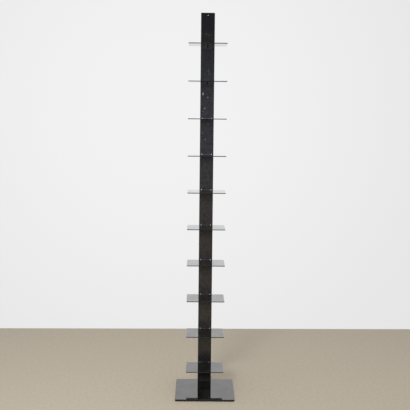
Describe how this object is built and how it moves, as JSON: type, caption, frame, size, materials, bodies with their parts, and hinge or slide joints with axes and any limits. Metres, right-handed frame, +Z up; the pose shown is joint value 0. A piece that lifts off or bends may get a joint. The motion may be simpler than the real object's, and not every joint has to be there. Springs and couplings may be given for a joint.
{
  "type": "column bookshelf",
  "caption": "Tall free-standing spine bookcase: a folded steel column on a flat square base, with thin cantilevered shelf plates that carry books stacked flat.",
  "frame": {"origin": "middle of the base plate's underside, on the floor", "axes": "+Z up along the column, -Y towards the front where the shelves stand out, +X to the right seen from the front"},
  "size_m": [0.305, 0.305, 2],
  "materials": {
    "black_enamel": "gloss black enamel with light scuffs",
    "blackened_steel": "satin black oxide",
    "zinc_plated_steel": "dull zinc plating"
  },
  "bodies": {
    "root": {"base_plate": "black_enamel", "column": "black_enamel", "column_foot": "black_enamel", "foot_weld": "black_enamel", "base_screws": "zinc_plated_steel", "shelf_01": "black_enamel", "shelf_02": "black_enamel", "shelf_03": "black_enamel", "shelf_04": "black_enamel", "shelf_05": "black_enamel", "shelf_06": "black_enamel", "shelf_07": "black_enamel", "shelf_08": "black_enamel", "shelf_09": "black_enamel", "shelf_10": "black_enamel", "shelf_screw_01": "blackened_steel", "shelf_screw_02": "blackened_steel", "shelf_screw_03": "blackened_steel", "shelf_screw_04": "blackened_steel", "shelf_screw_05": "blackened_steel", "shelf_screw_06": "blackened_steel", "shelf_screw_07": "blackened_steel", "shelf_screw_08": "blackened_steel", "shelf_screw_09": "blackened_steel", "shelf_screw_10": "blackened_steel", "shelf_nut_01": "zinc_plated_steel", "shelf_nut_02": "zinc_plated_steel", "shelf_nut_03": "zinc_plated_steel", "shelf_nut_04": "zinc_plated_steel", "shelf_nut_05": "zinc_plated_steel", "shelf_nut_06": "zinc_plated_steel", "shelf_nut_07": "zinc_plated_steel", "shelf_nut_08": "zinc_plated_steel", "shelf_nut_09": "zinc_plated_steel", "shelf_nut_10": "zinc_plated_steel"}
  },
  "joints": []
}
